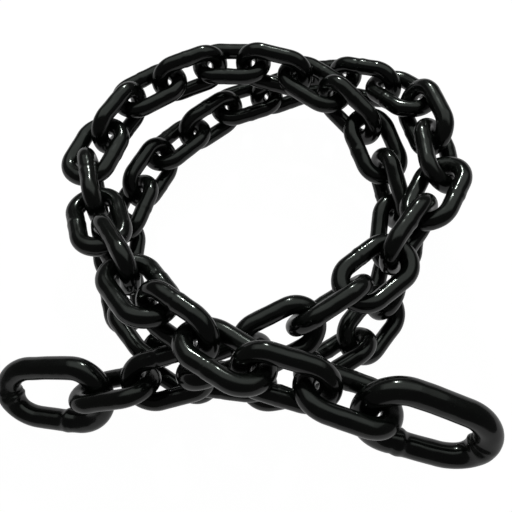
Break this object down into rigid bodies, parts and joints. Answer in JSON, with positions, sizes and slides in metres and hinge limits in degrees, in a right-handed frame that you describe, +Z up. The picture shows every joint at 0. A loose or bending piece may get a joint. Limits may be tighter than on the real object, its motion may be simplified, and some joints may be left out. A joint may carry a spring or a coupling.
{
  "type": "chain",
  "caption": "Black coated welded short-link chain with an enlarged oval link at each end, laid in an open coil.",
  "frame": {"origin": "on the ground, under the middle of the coil's outline", "axes": "+Z up; +X to the right and +Y away from the reader who stands at the coil's open side, where both end links lie: end_link_1 at +X, end_link_2 at -X"},
  "size_m": [0.269, 0.2766, 0.0989],
  "materials": {
    "black_coat": "gloss"
  },
  "bodies": {
    "end_link_1": {"end_link_1": "black_coat"},
    "link_01": {"link_01": "black_coat"},
    "link_02": {"link_02": "black_coat"},
    "link_03": {"link_03": "black_coat"},
    "link_04": {"link_04": "black_coat"},
    "link_05": {"link_05": "black_coat"},
    "link_06": {"link_06": "black_coat"},
    "link_07": {"link_07": "black_coat"},
    "link_08": {"link_08": "black_coat"},
    "link_09": {"link_09": "black_coat"},
    "link_10": {"link_10": "black_coat"},
    "link_11": {"link_11": "black_coat"},
    "link_12": {"link_12": "black_coat"},
    "link_13": {"link_13": "black_coat"},
    "link_14": {"link_14": "black_coat"},
    "link_15": {"link_15": "black_coat"},
    "link_16": {"link_16": "black_coat"},
    "link_17": {"link_17": "black_coat"},
    "link_18": {"link_18": "black_coat"},
    "link_19": {"link_19": "black_coat"},
    "link_20": {"link_20": "black_coat"},
    "link_21": {"link_21": "black_coat"},
    "link_22": {"link_22": "black_coat"},
    "link_23": {"link_23": "black_coat"},
    "link_24": {"link_24": "black_coat"},
    "link_25": {"link_25": "black_coat"},
    "link_26": {"link_26": "black_coat"},
    "link_27": {"link_27": "black_coat"},
    "link_28": {"link_28": "black_coat"},
    "link_29": {"link_29": "black_coat"},
    "link_30": {"link_30": "black_coat"},
    "link_31": {"link_31": "black_coat"},
    "link_32": {"link_32": "black_coat"},
    "link_33": {"link_33": "black_coat"},
    "link_34": {"link_34": "black_coat"},
    "link_35": {"link_35": "black_coat"},
    "link_36": {"link_36": "black_coat"},
    "link_37": {"link_37": "black_coat"},
    "link_38": {"link_38": "black_coat"},
    "link_39": {"link_39": "black_coat"},
    "link_40": {"link_40": "black_coat"},
    "link_41": {"link_41": "black_coat"},
    "link_42": {"link_42": "black_coat"},
    "link_43": {"link_43": "black_coat"},
    "link_44": {"link_44": "black_coat"},
    "link_45": {"link_45": "black_coat"},
    "link_46": {"link_46": "black_coat"},
    "link_47": {"link_47": "black_coat"},
    "end_link_2": {"end_link_2": "black_coat"}
  },
  "joints": [
    {"name": "bend_link_20", "type": "hinge", "parent": "link_21", "child": "link_20", "pos_m": [0.08143, -0.04665, 0.0171], "axis": [-0.4477, 0.3178, -0.8358], "range_deg": [-3, 0]},
    {"name": "bend_link_19", "type": "hinge", "parent": "link_20", "child": "link_19", "pos_m": [0.09497, -0.0084, 0.02425], "axis": [0.2423, -0.2473, 0.9382], "range_deg": [-0.5, 2.5]},
    {"name": "bend_link_18", "type": "hinge", "parent": "link_19", "child": "link_18", "pos_m": [0.09847, 0.00868, 0.02785], "axis": [0.2423, -0.2473, 0.9382], "range_deg": [-1, 2]},
    {"name": "bend_link_17", "type": "hinge", "parent": "link_18", "child": "link_17", "pos_m": [0.09121, 0.04577, 0.03895], "axis": [-0.1778, 0.2217, -0.9588], "range_deg": [-2, 1.5]},
    {"name": "bend_link_16", "type": "hinge", "parent": "link_17", "child": "link_16", "pos_m": [0.07913, 0.06998, 0.04678], "axis": [-0.7436, -0.6611, 0.1004], "range_deg": [-3.5, 1.5]},
    {"name": "bend_link_15", "type": "hinge", "parent": "link_16", "child": "link_15", "pos_m": [0.06072, 0.09131, 0.05087], "axis": [0.0779, 0.0402, 0.9961], "range_deg": [-3, 3]},
    {"name": "bend_link_14", "type": "hinge", "parent": "link_15", "child": "link_14", "pos_m": [0.03728, 0.10683, 0.05207], "axis": [0.3386, 0.9338, -0.1153], "range_deg": [-2.5, 6.5]},
    {"name": "bend_link_13", "type": "hinge", "parent": "link_14", "child": "link_13", "pos_m": [0.01043, 0.11651, 0.05161], "axis": [0.0653, -0.0918, -0.9936], "range_deg": [-5, 60]},
    {"name": "bend_link_12", "type": "hinge", "parent": "link_13", "child": "link_12", "pos_m": [-0.00706, 0.11952, 0.05018], "axis": [0.0653, -0.0918, -0.9936], "range_deg": [-9, 60]},
    {"name": "bend_link_11", "type": "hinge", "parent": "link_12", "child": "link_11", "pos_m": [-0.04401, 0.10596, 0.04849], "axis": [-0.0831, 0.0758, 0.9937], "range_deg": [-60, 8.5]},
    {"name": "bend_link_10", "type": "hinge", "parent": "link_11", "child": "link_10", "pos_m": [-0.05946, 0.09714, 0.04787], "axis": [-0.0831, 0.0758, 0.9937], "range_deg": [-60, 8]},
    {"name": "bend_link_09", "type": "hinge", "parent": "link_10", "child": "link_09", "pos_m": [-0.07908, 0.063, 0.04916], "axis": [0.0749, -0.0758, -0.9943], "range_deg": [-8.5, 60]},
    {"name": "bend_link_08", "type": "hinge", "parent": "link_09", "child": "link_08", "pos_m": [-0.08525, 0.04633, 0.04996], "axis": [0.0749, -0.0758, -0.9943], "range_deg": [-9, 60]},
    {"name": "bend_link_07", "type": "hinge", "parent": "link_08", "child": "link_07", "pos_m": [-0.07656, 0.00851, 0.05623], "axis": [0.0112, 0.2749, 0.9614], "range_deg": [-60, 9]},
    {"name": "bend_link_06", "type": "hinge", "parent": "link_07", "child": "link_06", "pos_m": [-0.07142, -0.00789, 0.06086], "axis": [0.0112, 0.2749, 0.9614], "range_deg": [-60, 9.5]},
    {"name": "bend_link_05", "type": "hinge", "parent": "link_06", "child": "link_05", "pos_m": [-0.05174, -0.0417, 0.07168], "axis": [-0.127, -0.3772, -0.9174], "range_deg": [-9, 60]},
    {"name": "bend_link_04", "type": "hinge", "parent": "link_05", "child": "link_04", "pos_m": [-0.04199, -0.0559, 0.07617], "axis": [-0.127, -0.3772, -0.9174], "range_deg": [-9.5, 60]},
    {"name": "bend_link_03", "type": "hinge", "parent": "link_04", "child": "link_03", "pos_m": [-0.01153, -0.082, 0.08245], "axis": [0.2242, 0.4642, 0.8569], "range_deg": [-60, 18.5]},
    {"name": "bend_link_02", "type": "hinge", "parent": "link_03", "child": "link_02", "pos_m": [0.01353, -0.09597, 0.08346], "axis": [-0.2255, -0.8373, 0.4981], "range_deg": [-60, 60]},
    {"name": "bend_link_01", "type": "hinge", "parent": "link_02", "child": "link_01", "pos_m": [0.03035, -0.10154, 0.08171], "axis": [-0.2255, -0.8373, 0.4981], "range_deg": [-60, 60]},
    {"name": "bend_end_link_1", "type": "hinge", "parent": "link_01", "child": "end_link_1", "pos_m": [0.07158, -0.11592, 0.07274], "axis": [0.1603, 0.8492, -0.5032], "range_deg": [-60, 60]},
    {"name": "bend_link_22", "type": "hinge", "parent": "link_21", "child": "link_22", "pos_m": [0.06016, -0.06799, 0.02037], "axis": [0.4062, -0.6377, -0.6544], "range_deg": [-0.5, 4]},
    {"name": "bend_link_23", "type": "hinge", "parent": "link_22", "child": "link_23", "pos_m": [0.0332, -0.08142, 0.01672], "axis": [0.1122, -0.5936, 0.7969], "range_deg": [-4.5, 1]},
    {"name": "bend_link_24", "type": "hinge", "parent": "link_23", "child": "link_24", "pos_m": [0.00307, -0.0836, 0.01934], "axis": [0.0926, 0.7459, 0.6596], "range_deg": [-35, 0.5]},
    {"name": "bend_link_25", "type": "hinge", "parent": "link_24", "child": "link_25", "pos_m": [-0.01433, -0.08014, 0.01788], "axis": [0.0926, 0.7459, 0.6596], "range_deg": [-7.5, 0.5]},
    {"name": "bend_link_26", "type": "hinge", "parent": "link_25", "child": "link_26", "pos_m": [-0.05004, -0.05817, 0.01871], "axis": [-0.5746, -0.4849, -0.6593], "range_deg": [-1, 6.5]},
    {"name": "bend_link_27", "type": "hinge", "parent": "link_26", "child": "link_27", "pos_m": [-0.06065, -0.04393, 0.01748], "axis": [-0.5746, -0.4849, -0.6593], "range_deg": [-1, 5]},
    {"name": "bend_link_28", "type": "hinge", "parent": "link_27", "child": "link_28", "pos_m": [-0.07123, -0.01607, 0.01665], "axis": [-0.5669, -0.1912, 0.8013], "range_deg": [-0.5, 3]},
    {"name": "bend_link_29", "type": "hinge", "parent": "link_28", "child": "link_29", "pos_m": [-0.07112, 0.01286, 0.01768], "axis": [0.7616, -0.0261, 0.6475], "range_deg": [-1, 1]},
    {"name": "bend_link_30", "type": "hinge", "parent": "link_29", "child": "link_30", "pos_m": [-0.06376, 0.04087, 0.01699], "axis": [0.5074, -0.1543, -0.8478], "range_deg": [-3, 0.5]},
    {"name": "bend_link_31", "type": "hinge", "parent": "link_30", "child": "link_31", "pos_m": [-0.04494, 0.07669, 0.01604], "axis": [-0.2176, 0.231, 0.9483], "range_deg": [-0.5, 16]},
    {"name": "bend_link_32", "type": "hinge", "parent": "link_31", "child": "link_32", "pos_m": [-0.03162, 0.0885, 0.01622], "axis": [-0.2176, 0.231, 0.9483], "range_deg": [-0.5, 15]},
    {"name": "bend_link_33", "type": "hinge", "parent": "link_32", "child": "link_33", "pos_m": [0.00144, 0.11203, 0.01748], "axis": [0.1031, -0.0895, -0.9906], "range_deg": [-5.5, 0.5]},
    {"name": "bend_link_34", "type": "hinge", "parent": "link_33", "child": "link_34", "pos_m": [0.01865, 0.11636, 0.01888], "axis": [0.1031, -0.0895, -0.9906], "range_deg": [-5.5, 0.5]},
    {"name": "bend_link_35", "type": "hinge", "parent": "link_34", "child": "link_35", "pos_m": [0.05638, 0.1214, 0.02835], "axis": [-0.3377, 0.1481, 0.9295], "range_deg": [-0.5, 4]},
    {"name": "bend_link_36", "type": "hinge", "parent": "link_35", "child": "link_36", "pos_m": [0.08034, 0.11009, 0.03886], "axis": [-0.5539, -0.8265, 0.1006], "range_deg": [-0.5, 5]},
    {"name": "bend_link_37", "type": "hinge", "parent": "link_36", "child": "link_37", "pos_m": [0.09483, 0.10097, 0.04373], "axis": [-0.5539, -0.8265, 0.1006], "range_deg": [-1, 8.5]},
    {"name": "bend_link_38", "type": "hinge", "parent": "link_37", "child": "link_38", "pos_m": [0.112, 0.0806, 0.0518], "axis": [0.067, -0.3182, -0.9456], "range_deg": [-3.5, 0]},
    {"name": "bend_link_39", "type": "hinge", "parent": "link_38", "child": "link_39", "pos_m": [0.11999, 0.04279, 0.05553], "axis": [0.6552, 0.0326, 0.7548], "range_deg": [-1.5, 2.5]},
    {"name": "bend_link_40", "type": "hinge", "parent": "link_39", "child": "link_40", "pos_m": [0.11912, 0.02508, 0.05706], "axis": [0.6552, 0.0326, 0.7548], "range_deg": [-1.5, 3.5]},
    {"name": "bend_link_41", "type": "hinge", "parent": "link_40", "child": "link_41", "pos_m": [0.10815, -0.00064, 0.05887], "axis": [-0.4193, 0.2408, 0.8753], "range_deg": [0, 3]},
    {"name": "bend_link_42", "type": "hinge", "parent": "link_41", "child": "link_42", "pos_m": [0.08073, -0.03394, 0.0573], "axis": [-0.0611, 0.0472, -0.997], "range_deg": [-30.5, 0.5]},
    {"name": "bend_link_43", "type": "hinge", "parent": "link_42", "child": "link_43", "pos_m": [0.06635, -0.04444, 0.05768], "axis": [-0.0611, 0.0472, -0.997], "range_deg": [-36.5, 0.5]},
    {"name": "bend_link_44", "type": "hinge", "parent": "link_43", "child": "link_44", "pos_m": [0.0292, -0.06621, 0.05534], "axis": [0.2187, -0.5747, 0.7886], "range_deg": [-5, 8]},
    {"name": "bend_link_45", "type": "hinge", "parent": "link_44", "child": "link_45", "pos_m": [0.01298, -0.0735, 0.05452], "axis": [0.2187, -0.5747, 0.7886], "range_deg": [-8, 11.5]},
    {"name": "bend_link_46", "type": "hinge", "parent": "link_45", "child": "link_46", "pos_m": [-0.02749, -0.08396, 0.04577], "axis": [0.1098, 0.705, -0.7006], "range_deg": [-60, 35]},
    {"name": "bend_link_47", "type": "hinge", "parent": "link_46", "child": "link_47", "pos_m": [-0.04447, -0.08616, 0.04089], "axis": [0.1098, 0.705, -0.7006], "range_deg": [-60, 47.5]},
    {"name": "bend_end_link_2", "type": "hinge", "parent": "link_47", "child": "end_link_2", "pos_m": [-0.08802, -0.08761, 0.02672], "axis": [-0.2436, -0.6737, 0.6976], "range_deg": [-60, 60]}
  ]
}
